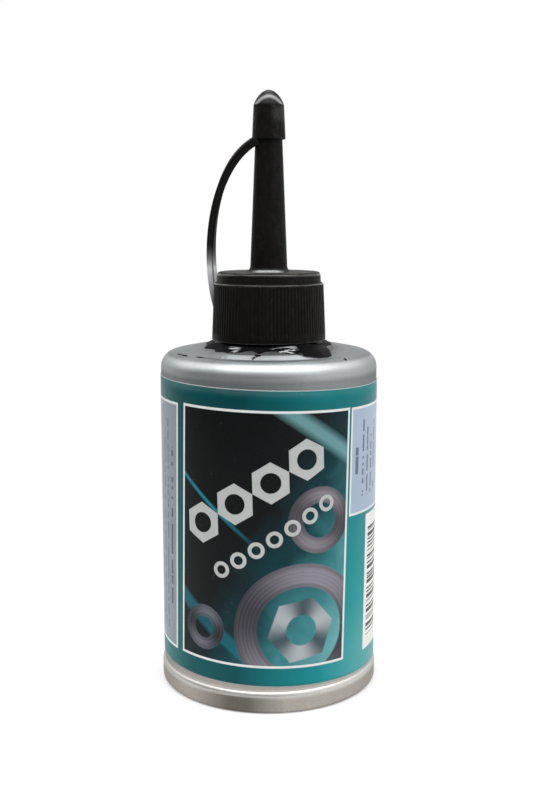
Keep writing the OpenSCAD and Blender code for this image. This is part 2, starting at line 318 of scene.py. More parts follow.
class Finish:
    """The nodes of one material."""

    def __init__(self, owner):
        owner.use_nodes = True
        self.owner = owner
        self.tree = owner.node_tree
        self.tree.nodes.clear()

    def node(self, kind, settings=None, inputs=None, out=0):
        """Add a node: its settings first, then the values or links of its sockets."""
        made = self.tree.nodes.new("ShaderNode" + kind)
        for key, value in (settings or {}).items():
            if key == "stops":
                self.fill_ramp(made.color_ramp, value)
            else:
                setattr(made, key, value)
        for key, value in (inputs or {}).items():
            if isinstance(value, Wire):
                self.tree.links.new(value.socket, made.inputs[key])
            else:
                made.inputs[key].default_value = value
        return Wire(self, made.outputs[out]) if made.outputs else None

    @staticmethod
    def fill_ramp(ramp, stops):
        while len(ramp.elements) < len(stops):
            ramp.elements.new(1.0)
        for element, (place, colour) in zip(ramp.elements, stops):
            element.position = place
            element.color = colour

    def math(self, operation, a, b=0.0, c=0.0, clamp=False):
        return self.node("Math", {"operation": operation, "use_clamp": clamp}, {0: a, 1: b, 2: c})

    def step(self, value, edge, blur):
        """0 below the edge and 1 above it, with a straight ramp as wide as the blur between them."""
        return self.math("MULTIPLY_ADD", value, 1 / blur, 0.5 - edge / blur, clamp=True)

    def between(self, value, low, high, blur):
        return self.step(value, low, blur) - self.step(value, high, blur)

    def larger(self, a, b):
        return self.math("MAXIMUM", a, b)

    def length(self, a, b):
        return self.math("SQRT", a * a + b * b)

    def mix(self, share, a, b):
        """Colour a, and colour b where the share is 1."""
        return self.node("Mix", {"data_type": "RGBA"}, {0: share, 6: a, 7: b}, out=2)

    def ramp(self, value, stops):
        return self.node("ValToRGB", {"stops": stops}, {"Fac": value})

    def place(self):
        """Object coordinates in metres, and their three parts in millimetres."""
        at = self.node("TexCoord", out=3)
        parts = self.node("SeparateXYZ", inputs={0: at}).socket.node
        return at, [Wire(self, s) * 1000.0 for s in parts.outputs]

    def stretched(self, at, x, y, z):
        return self.node("VectorMath", {"operation": "MULTIPLY"}, {0: at, 1: (x, y, z)})

    def noise(self, at, size_mm, detail=2.0, rough=0.5, warp=0.0):
        """Noise whose lumps are about as wide as the size, from 0 to 1."""
        return self.node("TexNoise", {"noise_dimensions": "3D"},
                         {"Vector": at, "Scale": 1000.0 / size_mm, "Detail": detail, "Roughness": rough,
                          "Distortion": warp})

    def cells(self, at, size_mm, out=0):
        return self.node("TexVoronoi", {"feature": "F1"}, {"Vector": at, "Scale": 1000.0 / size_mm}, out=out)

    def bump(self, height, depth_mm, under=None):
        """Normal of a surface whose height from 0 to 1 stands for the depth."""
        inputs = {"Height": height, "Distance": depth_mm * MM, "Strength": 1.0}
        if under:
            inputs["Normal"] = under
        return self.node("Bump", inputs=inputs)

    def surface(self, **sockets):
        """Closing shader. A name's underscores stand for the spaces of its socket's name."""
        inputs = {key.replace("_", " "): value for key, value in sockets.items()}
        shader = self.node("BsdfPrincipled", inputs=inputs)
        self.node("OutputMaterial", inputs={"Surface": shader})
        return self.owner


def new_finish(name):
    return Finish(bpy.data.materials.new(name))


# Materials

# How far the film of grease reaches out on the shoulder: direction from the front in degrees, share of 7 mm
FILM_SPAN = 7.0
FILM_REACH = [(-180, 0.04), (-100, 0.06), (-75, 0.12), (-59, 0.25), (-45, 0.46), (-28, 0.44), (-22, 0.32),
              (-14, 0.2), (-4, 0.31), (8, 0.27), (15, 0.1), (20, 0.35), (23, 0.8), (31, 0.93), (41, 0.75),
              (55, 0.5), (72, 0.28), (90, 0.07), (180, 0.04)]


# Soft step on the front of the shoulder: all inside its radius is raised, by bump in the finish alone
INSERT_RING_R = 16.6
INSERT_RING_W = 2.8
INSERT_RING_H = 1.1
INSERT_RING_X = (-9.0, 9.5)

# Bands and marks on the silver skin, painted shade, highlights and reflections among them: spans of x, y, z
# or radius in millimetres
SHOULDER_LOW_Z = 62.0
FRONT_X = (-12.0, 12.0)
SHADE_BAND_R = (17.6, 19.8)
CORNER_HIGHLIGHT_R = 19.7
FOOT_REFLECTION_Z = 7.0
BEAD_HIGHLIGHT_Z = (3.0, 4.4)
DARK_REFLECTION_TOP_Z = 3.2
DARK_REFLECTION_X = (-11.0, -0.5)
SEAM_Y = (-0.07, 0.07)


def silver_plastic():
    """Blown bottle: silver flakes in a smooth skin, flow streaks, worn bands, painted highlights, shade and
    reflections, and grease by the cap.
    The grease has no inner edge, so it covers the neck as well."""
    f = new_finish("silver_plastic")
    at, (x, y, z) = f.place()
    r = f.length(x, y)
    flake = f.node("SeparateColor", inputs={0: f.cells(at, 0.09, out=1)})
    streaks = f.noise(f.stretched(at, 1, 1, 0.12), 2.2, 3.0, 0.55)
    clouds = f.noise(at, 14.0, 2.0)
    tone = 0.76 + 0.2 * flake + 0.12 * streaks + 0.14 * clouds
    # Lighter, warmer tone low down on the foot: a painted reflection of the floor
    foot_reflection = f.step(-z, -FOOT_REFLECTION_Z, 5.0)
    plain = f.mix(foot_reflection, linear(139, 143, 144), linear(171, 165, 158))
    at_front = f.between(x, *FRONT_X, 4.0) * f.step(-y, 0.0, 4.0)
    # Darker band on the front of the shoulder: painted shade
    shade_band = f.between(r, *SHADE_BAND_R, 0.5) * f.step(z, SHOULDER_LOW_Z, 1.0) * at_front
    # Lighter ring round the shoulder's outer corner: a painted highlight
    corner_highlight = f.step(r, CORNER_HIGHLIGHT_R, 0.5) * f.step(z, SHOULDER_LOW_Z, 0.8)
    plain = f.mix(0.55 * shade_band, plain, linear(84, 88, 89))
    plain = f.mix(0.65 * corner_highlight, plain, linear(186, 189, 190))
    # Light line along the bead's top edge: a painted highlight
    plain = f.mix(0.75 * f.between(z, *BEAD_HIGHLIGHT_Z, 0.6), plain, linear(208, 206, 202))
    # Darker patch low on the front of the foot, left of the middle: a painted dark reflection
    dark_reflection = f.step(-z, -DARK_REFLECTION_TOP_Z, 0.4) * f.between(x, *DARK_REFLECTION_X, 7.0) * f.step(-y, 0.0, 4.0)
    plain = f.mix(0.9 * dark_reflection, plain, linear(98, 93, 87))
    silver = f.node("VectorMath", {"operation": "SCALE"}, {0: plain, "Scale": tone})
    film = f.noise(at, 1.7, 5.0, 0.62, 0.6)
    scuff = f.step(f.noise(f.stretched(at, 1, 1, 5), 0.9, 4.0, 0.7), 0.66, 0.1)
    at_edges = f.between(z, 3.0, 4.3, 0.8) + f.step(-z, -0.7, 0.6) + f.between(z, 63.6, 65.8, 1.2)
    worn = scuff * at_edges
    colour = f.mix(worn * 0.4, silver, linear(186, 186, 184))

    turn = f.math("ARCTAN2", x, -y) / FULL_TURN + 0.5
    stops = [((degrees + 180) / 360, (share, share, share, 1.0)) for degrees, share in FILM_REACH]
    reach = f.ramp(turn, stops)
    ragged = f.noise(f.stretched(at, 1, 1, 0.2), 2.6, 5.0, 0.62, 1.2) - 0.5
    shore = SKIRT_R + FILM_SPAN * reach + 2.2 * ragged - r
    torn_noise = f.noise(f.stretched(at, 1, 1.7, 0.2), 2.1, 4.0, 0.55, 2.0)
    tears = f.step(torn_noise, 0.6, 0.03) * f.step(r, 12.3, 0.6)
    on_top = f.step(z, SHOULDER_LOW_Z, 1.0)
    greased = f.step(shore, 0.0, 0.14) * (1.0 - tears) * on_top
    brushed = f.step(shore, -0.9, 1.8) * f.step(film, 0.42, 0.3) * on_top
    colour = f.mix(brushed * 0.45, colour, linear(58, 60, 61))
    colour = f.mix(greased, colour, linear(15, 15, 16))

    seam = f.between(y, *SEAM_Y, 0.05)
    skin_height = 0.6 * f.noise(at, 0.35, 3.0) + 0.4 * f.noise(at, 6.0, 1.0)
    ring_at = f.between(x, *INSERT_RING_X, 3.0) * f.step(-y, 4.0, 6.0)
    insert_ring = (1.0 - f.step(r, INSERT_RING_R, INSERT_RING_W)) * ring_at
    normal = f.bump(skin_height, 0.008)
    normal = f.bump(seam, 0.05, under=normal)
    normal = f.bump(insert_ring, INSERT_RING_H, under=normal)
    normal = f.bump(greased, 0.06, under=normal)
    rough = 0.42 + 0.05 * film + 0.08 * worn - 0.1 * greased
    return f.surface(Base_Color=colour, Metallic=0.92 - 0.82 * greased, Roughness=rough, Normal=normal,
                     Specular_IOR_Level=0.3, Specular_Tint=(0.5, 0.5, 0.5, 1.0))


def rim_gloss(f, z, r):
    """Where hands and moulds leave the screw cap glossy: the ring's edge and the skirt's two edges."""
    ring_rim = f.between(z, CAP_TOP_Z - RING_EDGE, CAP_TOP_Z - 0.26, 0.1) * f.step(r, RING_R - 1.0, 0.2)
    skirt_rim = f.between(z, SKIRT_TOP_Z - SKIRT_SHOULDER - 0.12, SKIRT_TOP_Z - SKIRT_SHOULDER + 0.08, 0.06)
    skirt_foot = f.step(-z, -(SKIRT_FOOT_Z + 0.22), 0.06)
    return f.larger(f.larger(ring_rim * 0.75, skirt_rim), skirt_foot)


# Heights of the strap's painted silvery highlight, and how wide the painted highlight crescent at the
# spout's foot is
STRAP_SHEEN_Z = (77.5, 83.4)
CRESCENT_X = (-2.7, 2.3)


def black_plastic(name, gloss_from_z=None, sheen=None):
    """Moulded black plastic: fine satin skin, flow marks, hairline scratches, a thin film of old grease.
    The sheen is a painted silvery highlight over a stretch of heights; other painted highlights lie on the
    tip and the screw cap."""
    f = new_finish(name)
    at, (x, y, z) = f.place()
    flow = f.noise(f.stretched(at, 1, 1, 0.35), 3.0, 3.0, 0.55, 0.4)
    grain = f.noise(at, 0.12, 2.0)
    film = f.noise(at, 1.1, 5.0, 0.65, 0.8)
    smudge = f.step(film, 0.56, 0.2)
    hairs = f.noise(f.stretched(at, 9, 1, 1), 1.6, 2.0, 0.5, 1.5)
    hair = f.between(hairs, 0.497, 0.503, 0.004)
    colour = f.mix(flow, linear(12, 12, 11), linear(25, 24, 22))
    colour = f.mix(smudge * 0.4, colour, linear(30, 28, 27))
    colour = f.mix(hair * 0.3, colour, linear(52, 51, 50))
    rough = 0.44 + 0.1 * flow + 0.1 * smudge
    if sheen:
        low, high = sheen
        # Silvery stretch along the strap: a painted highlight
        onset = f.step(-z, -high, 5.0)
        painted_sheen = (0.3 + 0.7 * f.step(z, low, 6.0)) * onset * onset * (0.75 + 0.4 * film)
        gloss = 0.05
    elif gloss_from_z:
        on_dome = f.step(z, gloss_from_z, 0.1)
        # Lighter blotches low on the tip's right side: a painted highlight
        side_highlight = f.step(x, 0.7, 0.9) * f.between(z, gloss_from_z - 3.0, gloss_from_z - 0.3, 1.4)
        gloss = f.larger(on_dome * 0.12, 0.04 + 0.2 * smudge)
        # Silvery arc round the dome: a painted highlight
        arc_z = gloss_from_z + 1.4 - 0.25 * x * x
        arc = f.between(z - arc_z, -0.25, 0.3, 0.6) * on_dome
        painted_sheen = f.larger(arc * (0.34 + 0.2 * film), 0.07 * side_highlight * film)
    else:
        r = f.length(x, y)
        on_top = f.step(z, CAP_TOP_Z - 0.22, 0.1) * f.step(r, 4.6, 0.3)
        on_bevel = f.between(z, SKIRT_TOP_Z - SKIRT_SHOULDER + 0.08, SKIRT_TOP_Z + 0.06, 0.06)
        dull = f.larger(on_top, on_bevel)
        # Lighter brownish blotches on the top face: a painted reflection
        colour = f.mix(on_top * f.step(film, 0.5, 0.3) * 0.35, colour, linear(92, 90, 82))
        gloss = f.larger(rim_gloss(f, z, r), 0.04 + 0.08 * smudge) * (1.0 - 0.95 * dull)
        # Crescent at the front of the spout's foot and a line along the skirt's foot: painted highlights
        in_fillet = f.between(z, CAP_TOP_Z - 0.1, CAP_TOP_Z + 0.34, 0.16) * f.step(-r, -5.5, 0.4)
        foot_highlight = f.step(-z, -(SKIRT_FOOT_Z + 0.14), 0.06)
        crescent = in_fillet * f.between(x, *CRESCENT_X, 1.8) * f.step(-y, 3.2, 2.4)
        painted_sheen = f.larger(crescent, foot_highlight * 0.35)
    colour = f.mix(painted_sheen, colour, linear(210, 211, 212))
    rough = rough - 0.14 * painted_sheen
    normal = f.bump(grain, 0.006)
    normal = f.bump(f.noise(at, 2.4, 2.0), 0.03, under=normal)
    normal = f.bump(1.0 - hair, 0.004, under=normal)
    return f.surface(Base_Color=colour, Metallic=0.8 * painted_sheen, Roughness=rough, Normal=normal,
                     Specular_IOR_Level=0.03, Coat_Weight=gloss, Coat_Roughness=0.2, Coat_IOR=1.6)


def wet_grease():
    """Graphite grease that has crept out: near black, wet, with a leaden sheen, drag marks, and near-white
    tears where silver shows through with a painted highlight.
    """
    f = new_finish("grease")
    at, (x, y, z) = f.place()
    lumps = f.noise(at, 0.8, 4.0, 0.6, 0.8)
    drag = f.noise(f.stretched(at, 1, 0.25, 3), 0.5, 3.0, 0.6, 1.2)
    specks = f.step(f.cells(at, 0.16), 0.62, 0.1)
    colour = f.mix(lumps, linear(5, 5, 6), linear(15, 15, 16))
    colour = f.mix(f.step(drag, 0.66, 0.06) * 0.3, colour, linear(70, 72, 74))
    colour = f.mix(specks * 0.15, colour, linear(48, 49, 51))
    turn = f.math("ARCTAN2", x, -y) * float(np.degrees(1))
    # Near-white tears at two places round the front: silver showing through, brightened into a painted
    # highlight
    torn_glint_at = f.larger(f.between(turn, 1.0, 22.0, 4.0), f.between(turn, -35.0, -26.0, 4.0))
    tracks = f.noise(f.stretched(at, 0.45, 1.5, 0.2), 1.5, 3.0, 0.55, 0.7)
    torn = torn_glint_at * f.step(tracks, 0.55, 0.05) * f.step(f.length(x, y), 12.2, 0.8)
    colour = f.mix(torn, colour, linear(196, 198, 199))
    normal = f.bump(lumps, 0.05)
    normal = f.bump(drag, 0.04, under=normal)
    return f.surface(Base_Color=colour, Metallic=0.7 * torn, Roughness=0.34 + 0.2 * drag, Normal=normal,
                     Specular_IOR_Level=0.01)


def packed_grease():
    """Filling: dark grey graphite grease, smooth at the wall, with folds and trapped bubbles on top."""
    f = new_finish("packed_grease")
    at, (x, y, z) = f.place()
    folds = f.noise(at, 5.0, 4.0, 0.6, 1.6)
    bubbles = f.step(f.cells(at, 1.9), 0.16, 0.1)
    colour = f.mix(folds, linear(24, 24, 26), linear(58, 58, 61))
    normal = f.bump(folds, 0.8)
    normal = f.bump(bubbles, 0.25, under=normal)
    return f.surface(Base_Color=colour, Metallic=0.3, Roughness=0.22 + 0.3 * folds, Normal=normal,
                     Specular_IOR_Level=0.4)


def liner_foam():
    """Seal liner: fine off-white foam, with a grey ring of grease where the neck's rim presses it."""
    f = new_finish("liner_foam")
    at, (x, y, z) = f.place()
    r = f.length(x, y)
    pores = f.cells(at, 0.14)
    pressed = f.between(r, NECK_BORE_R, NECK_R, 0.3) * f.step(-z, -(RIM_Z + 0.4), 0.3)
    stain = f.step(f.noise(at, 1.2, 4.0, 0.6, 0.5), 0.52, 0.25)
    colour = f.mix(pores, linear(212, 210, 203), linear(236, 234, 228))
    colour = f.mix(pressed * (0.25 + 0.55 * stain), colour, linear(88, 87, 86))
    normal = f.bump(pores, 0.05)
    rough = 0.78 - 0.3 * pressed
    return f.surface(Base_Color=colour, Roughness=rough, Normal=normal, Specular_IOR_Level=0.3)


# The label's print, in millimetres: s runs round the bottle from the front's middle and up is the height

PRINT_UNIT = 100.0
EDGE = 0.1
LINE_W = 0.46
FRAME_S = (-18.2, 15.9)
FRAME_UP = (8.8, 56.8)
LEFT_PANEL_S = (-60.0, -20.0)
LEFT_PANEL_UP = (8.6, 56.5)
RIGHT_PANEL_S = (16.4, 60.0)
RIGHT_PANEL_UP = (36.25, 56.7)
BLOCK_S = (22.3, 47.0)
BLOCK_UP = (8.8, 35.6)
LEFT_RULES_S = (-24.2, -26.0, -27.8, -31.5, -33.3, -35.1, -36.9, -42.0, -43.8, -45.6, -52.0)
RIGHT_RULES_S = (20.6, 22.4, 24.2, 26.0, 30.0, 31.8, 37.0, 38.8, 40.6, 48.0, 49.8)


def inset(sides, gap):
    return sides[0] + gap, sides[1] - gap


def printed_film():
    """Label: glossy film printed with a hardware pattern in a frame, tinted panels and a striped block."""
    f = new_finish("printed_film")
    uv = f.node("UVMap", {"uv_map": "print"})
    at, _ = f.place()
    parts = f.node("SeparateXYZ", inputs={0: uv}).socket.node
    s = Wire(f, parts.outputs[0]) * PRINT_UNIT
    up = Wire(f, parts.outputs[1]) * PRINT_UNIT

    def box(s_sides, up_sides, blur=EDGE):
        return f.between(s, *s_sides, blur) * f.between(up, *up_sides, blur)

    def outlined(s_sides, up_sides):
        """Mask of a box's fill, and of the line round it."""
        whole = box(s_sides, up_sides)
        fill = box(inset(s_sides, LINE_W), inset(up_sides, LINE_W))
        return fill, whole - fill

    def turned(s_at, up_at, angle):
        """Place along and across a line through a point of the print."""
        cos, sin = np.cos(np.radians(angle)), np.sin(np.radians(angle))
        return (s - s_at) * cos + (up - up_at) * sin, (up - up_at) * cos - (s - s_at) * sin

    def hexagon(along, across):
        """Distance to a hexagon's flats: the largest of its three directions."""
        a, b = abs(along), abs(across)
        return f.larger(b, a * np.cos(np.radians(30)) + b * 0.5)

    fine = f.noise(at, 0.12, 1.0)
    cloud = f.noise(at, 7.0, 3.0, 0.5, 0.6)
    across_front = (s + 26.0) / 52.0
    # Over the print's teal lie painted shade and light: darker to the left of the middle and high up,
    # lighter to the right, and a painted reflection low on the right
    top_shade = f.step(up, 38.0, 34.0)
    teal = f.ramp(across_front + 0.12 * (cloud - 0.5),
                  [(0.0, linear(30, 106, 106)), (0.22, linear(9, 84, 88)), (0.39, linear(5, 76, 83)),
                   (0.54, linear(8, 110, 115)), (0.7, linear(22, 138, 144)), (1.0, linear(30, 148, 152))])
    teal = f.mix(0.45 * top_shade, teal, linear(4, 40, 42))
    low_right_haze = f.step(-up, -15.0, 9.0) * f.step(s, 15.0, 9.0)
    teal = f.mix(0.75 * low_right_haze, teal, linear(82, 163, 164))

    slant = (s - FRAME_S[0]) / 60.0 + (FRAME_UP[1] - up) / 105.0
    scene = f.ramp(slant + 0.22 * (cloud - 0.5),
                   [(0.0, linear(14, 15, 15)), (0.46, linear(14, 17, 18)), (0.62, linear(9, 54, 61)),
                    (0.8, linear(54, 124, 130)), (1.0, linear(112, 174, 176))])

    _, streak_a = turned(-18.0, 44.0, -38.0)
    _, streak_b = turned(-18.0, 21.0, -35.0)
    _, streak_c = turned(4.0, 56.0, -33.0)
    thin = f.between(streak_a, -0.3, 0.3, 0.4) * f.step(-s, 6.0, 9.0)
    wide = f.between(streak_b, -1.5, 1.0, 0.8) * (0.4 + 0.6 * cloud)
    top = f.between(streak_c, -1.3, 1.3, 1.6) * f.step(up, 40.0, 8.0)
    scene = f.mix(thin * 0.9, scene, linear(30, 132, 150))
    scene = f.mix(wide * 0.85, scene, linear(22, 112, 128))
    scene = f.mix(top * 0.7, scene, linear(120, 172, 176))

    def washer(s_at, up_at, out_r, in_r, dark, light, glow):
        """Flat ring with a turned sheen, a lit upper edge and a dark rim, laid over the picture so far."""
        along, across = turned(s_at, up_at, 28.0)
        r = f.length(along, across)
        ring = f.between(r, in_r, out_r, 0.25)
        sheen = f.math("SINE", 2 * f.math("ARCTAN2", across, along)) * 0.5 + 0.5
        turned_marks = f.math("SINE", r * 9.0) * 0.06
        metal = f.mix(f.math("ADD", sheen * glow, turned_marks, clamp=True), dark, light)
        rim = f.between(r, out_r - 0.7, out_r, 0.4) + f.between(r, in_r, in_r + 0.6, 0.4)
        metal = f.mix(rim * 0.45, metal, linear(60, 62, 68))
        return f.mix(ring, scene, metal)

    scene = washer(6.5, 16.0, 12.6, 8.3, linear(58, 57, 64), linear(142, 138, 147), 0.9)
    along, across = turned(6.5, 16.0, 12.0)
    nut = f.step(-hexagon(along, across), -5.6, 0.25) * f.step(f.length(along, across), 2.9, 0.25)
    facets = f.math("SINE", 3 * f.math("ARCTAN2", across, along) + 0.8) * 0.5 + 0.5
    nut_metal = f.mix(facets, linear(66, 84, 90), linear(168, 174, 178))
    scene = f.mix(nut, scene, nut_metal)
    scene = washer(9.6, 36.6, 6.2, 3.3, linear(72, 68, 74), linear(140, 136, 143), 0.8)
    scene = washer(-12.4, 15.2, 4.3, 2.1, linear(36, 42, 48), linear(106, 110, 116), 0.9)

    row, rise = turned(-13.0, 35.2, 33.0)
    cell = f.math("WRAP", row, 3.9, -3.9)
    in_row = f.between(row, -3.9, 27.3, EDGE)
    shape = hexagon(cell, rise)
    nuts = f.step(-shape, -3.35, EDGE) * f.step(f.length(cell, rise), 1.9, EDGE) * in_row
    row, rise = turned(-8.8, 26.9, 33.0)
    cell = f.math("WRAP", row, 1.95, -1.95)
    in_row = f.between(row, -1.95, 25.35, EDGE)
    rings = f.between(f.length(cell, rise), 0.85, 1.55, EDGE) * in_row
    marks = f.larger(nuts, rings)
    scene = f.mix(marks, scene, f.mix(cloud, linear(168, 172, 170), linear(196, 198, 196)))

    inside, frame_line = outlined(FRAME_S, FRAME_UP)
    left_fill, left_line = outlined(LEFT_PANEL_S, LEFT_PANEL_UP)
    right_fill, right_line = outlined(RIGHT_PANEL_S, RIGHT_PANEL_UP)
    block = box(BLOCK_S, BLOCK_UP)
    white = linear(222, 225, 223)
    tint = f.mix(cloud, linear(158, 174, 194), linear(172, 186, 204))
    # The panel on the left side is greyer and darker: painted shade
    tint = f.mix(f.step(-s, 17.0, 3.0), tint, f.mix(cloud, linear(124, 134, 144), linear(146, 153, 160)))

    def rules(s_at, up_low, up_high, width, gap_mm, seed):
        """Broken plain line that runs up the panel."""
        spots = f.node("CombineXYZ", inputs={0: up * MM, 1: seed})
        pieces = f.step(f.noise(spots, gap_mm, 1.0), 0.44, 0.03)
        return box((s_at - width / 2, s_at + width / 2), (up_low, up_high)) * pieces

    ink = rules(-22.2, 17.0, 48.0, 0.75, 1.7, 0.11)
    for number, s_at in enumerate(LEFT_RULES_S):
        ink = ink + rules(s_at, 11.5, 53.0 - number % 3 * 4.0, 0.45, 1.3, 0.2 + 0.07 * number)
    ink = ink + rules(18.4, 44.0, 49.0, 0.9, 1.8, 0.91)
    for number, s_at in enumerate(RIGHT_RULES_S):
        ink = ink + rules(s_at, 39.5, 54.0 - number % 3 * 1.6, 0.55, 1.2, 1.3 + 0.07 * number)
    tint = f.mix(f.math("MULTIPLY", ink, 0.75, clamp=True), tint, linear(52, 62, 84))

    spots = f.node("CombineXYZ", inputs={0: up * MM})
    bars = f.step(f.noise(spots, 0.72, 1.0, 0.7), 0.5, 0.03)
    bars = bars * box(inset(BLOCK_S, 1.2), inset(BLOCK_UP, 2.6))
    paper = f.mix(bars, linear(232, 231, 226), linear(34, 34, 36))

    colour = f.mix(inside, teal, scene)
    colour = f.mix(left_fill, colour, tint)
    colour = f.mix(right_fill, colour, tint)
    colour = f.mix(block, colour, paper)
    lines = f.larger(f.larger(frame_line, left_line), right_line)
    colour = f.mix(lines, colour, white)
    cut = 1.0 - f.between(up, LABEL_LOW_Z + 0.14, LABEL_HIGH_Z - 0.14, 0.06)
    colour = f.mix(cut * 0.6, colour, linear(206, 208, 206))
    wear = f.step(f.noise(at, 0.5, 5.0, 0.75), 0.69, 0.05)
    colour = f.mix(wear * 0.35, colour, linear(170, 178, 178))
    grain = f.node("HueSaturation", inputs={"Value": 0.95 + 0.1 * fine, "Color": colour})

    waves = 0.65 * f.noise(at, 9.0, 2.0) + 0.35 * f.noise(at, 1.3, 2.0)
    normal = f.bump(waves, 0.05)
    rough = 0.3 + 0.1 * cloud + 0.15 * wear
    return f.surface(Base_Color=grain, Roughness=rough, Normal=normal, Specular_IOR_Level=0.12)


SILVER = silver_plastic()
BLACK = black_plastic("black_plastic")
TIP_BLACK = black_plastic("tip_plastic", gloss_from_z=TIP_DOME_Z)
STRAP_BLACK = black_plastic("strap_plastic", sheen=STRAP_SHEEN_Z)
GREASE = wet_grease()
FILLING = packed_grease()
FOAM = liner_foam()
FILM = printed_film()


# Bottle

def thread(wall_r, crest_r, wall_w, crest_w, start_z):
    """Helical ridge: each ring's height grows with the angle by the pitch, and both ends fade."""
    steps = 140
    share = np.linspace(0, 1, steps + 1)[:, None]
    angle = FULL_TURN * THREAD_TURNS * share
    lead = 0.1
    rise = 0.25 + 0.75 * np.minimum(1, np.minimum(share, 1 - share) / lead)
    height = crest_r - wall_r
    sink = -0.4 * np.sign(height)
    low, high = wall_w / 2, crest_w / 2
    across = np.array([-low, -low + 0.05, -high - 0.06, -high, high, high + 0.06, low - 0.05, low])[None]
    out = np.array([0.0, 0.12, 0.92, 1.0, 1.0, 0.92, 0.12, 0.0])[None]
    r = np.where(out == 0, wall_r + sink, wall_r + height * rise * out)
    z = start_z + PITCH * THREAD_TURNS * share + across
    grid = np.stack([r * np.cos(angle), r * np.sin(angle), z + 0 * r], axis=2)
    return skin(with_ends(grid))


def weld_line():
    """Pinched ridge under the foot: a rounded bar that follows the dome's circle along x."""
    ball = (STAND_IN_R ** 2 + PUSHUP ** 2) / (2 * PUSHUP)
    x = np.linspace(-WELD_LEN / 2, WELD_LEN / 2, 41)[:, None]
    dome = PUSHUP - ball + np.sqrt(ball ** 2 - x ** 2)
    turn = round_angles(16)[None]
    fade = np.sqrt(np.clip(1 - (x / (WELD_LEN / 2)) ** 4, 0.02, 1))
    y = WELD_W / 2 * np.cos(turn) + 0 * x
    z = dome + WELD_H * fade * np.sin(turn)
    return skin(with_ends(np.stack([x + 0 * y, y, z], axis=2)))


def bottle_shell():
    inner_corner_z = shoulder_slope_z(BODY_R - WALL) - WALL / np.cos(SHOULDER_SLOPE)
    line = outline(
        foot_dome(STAND_IN_R, 0)[:-1]
        + [(STAND_IN_R, 0, 0.3), (FOOT_R, 0, FOOT_ROUND), (FOOT_R, BEAD_SIDE_Z, BEAD_ROUND),
           (BODY_R, BEAD_H, 0.05), (BODY_R, shoulder_slope_z(BODY_R), SHOULDER_ROUND),
           (NECK_R, SHOULDER_Z, 0.5), (NECK_R, RIM_Z, 0.3), (NECK_BORE_R, RIM_Z, 0.15),
           (NECK_BORE_R, shoulder_slope_z(NECK_BORE_R) - WALL / np.cos(SHOULDER_SLOPE), 0.6),
           (BODY_R - WALL, inner_corner_z, SHOULDER_ROUND - WALL), (BODY_R - WALL, WALL, FLOOR_ROUND)]
        + foot_dome(BODY_R - WALL - FLOOR_ROUND, WALL)[-2::-1])
    parts = [
        skin(lathe(line, round_angles())),
        thread(NECK_R, NECK_R + THREAD_DEPTH, *THREAD_W, RIM_Z - THREAD_BELOW_RIM - PITCH * THREAD_TURNS),
        weld_line(),
    ]
    return piece("bottle_shell", parts, "bottle", SILVER, ["bottle"])


# Label

def label_film():
    """Thin film round the bottle: its ends are tilted planes, and one low stretch has let go a little."""
    half_turn = np.pi - LABEL_GAP / 2 / LABEL_OUT_R
    turn = np.linspace(-half_turn, half_turn, 481)[None]
    share = np.concatenate([np.linspace(0, 0.3, 25), np.linspace(0.3, 1, 16)[1:]])[:, None]
    tilt = -np.tan(LABEL_SKEW) * LABEL_OUT_R * np.sin(turn)
    middle = (LABEL_LOW_Z + LABEL_HIGH_Z) / 2
    tall = (LABEL_HIGH_Z - LABEL_LOW_Z) / np.cos(LABEL_SKEW)
    z = middle + tilt + (share - 0.5) * tall
    spread = np.exp(-((turn - np.radians(93)) / np.radians(17)) ** 2)
    loose = np.clip(1 - share / 0.16, 0, 1)
    ripple = 0.6 + 0.4 * np.cos(turn * 14)
    lift = LABEL_LIFT * spread * ripple * loose ** 2 * (3 - 2 * loose)
    angle = turn - np.pi / 2

    def layer(r):
        return np.stack([(r + lift) * np.cos(angle), (r + lift) * np.sin(angle), z + 0 * lift], axis=2)

    grid = np.concatenate([layer(LABEL_OUT_R), layer(LABEL_IN_R)[::-1]])
    points, faces = skin(grid, loop_rows=True, loop_columns=False)
    rows, columns = grid.shape[:2]
    half = rows // 2
    i = np.arange(half - 1)
    first = np.stack([i * columns, (i + 1) * columns, (rows - 2 - i) * columns, (rows - 1 - i) * columns], 1)
    ends = np.vstack([first, first + columns - 1])
    parts = [(points, np.vstack([faces, ends]))]
    made = piece("label_film", parts, "bottle", FILM, ["label"])
    arc = turn * LABEL_OUT_R
    s = arc * np.cos(LABEL_SKEW) - (z - middle) * np.sin(LABEL_SKEW)
    up = LABEL_LOW_Z + (LABEL_HIGH_Z - LABEL_LOW_Z) * share + 0 * arc
    spots = np.stack([s, up], axis=2)
    spots = np.concatenate([spots, spots[::-1]]).reshape(-1, 2) / PRINT_UNIT
    mesh = made.data
    layer_uv = mesh.uv_layers.new(name="print")
    corners = np.zeros(len(mesh.loops), np.int32)
    mesh.loops.foreach_get("vertex_index", corners)
    layer_uv.data.foreach_set("uv", spots[corners].astype(np.float32).ravel())
    return made


# Screw cap with its spout

def rib_columns():
    """Angles of the screw cap's columns: seven across each groove and one on each rib."""
    share = np.array([-1, -0.72, -0.36, 0, 0.36, 0.72, 1])
    groove = share * GROOVE_R / SKIRT_R
    depth = np.sqrt(1 - share ** 2)
    pitch = FULL_TURN / RIB_COUNT
    offsets = np.append(groove, pitch / 2)
    angles = (np.arange(RIB_COUNT)[:, None] * pitch + offsets[None]).ravel()
    return angles, np.tile(np.append(depth, 0), RIB_COUNT)


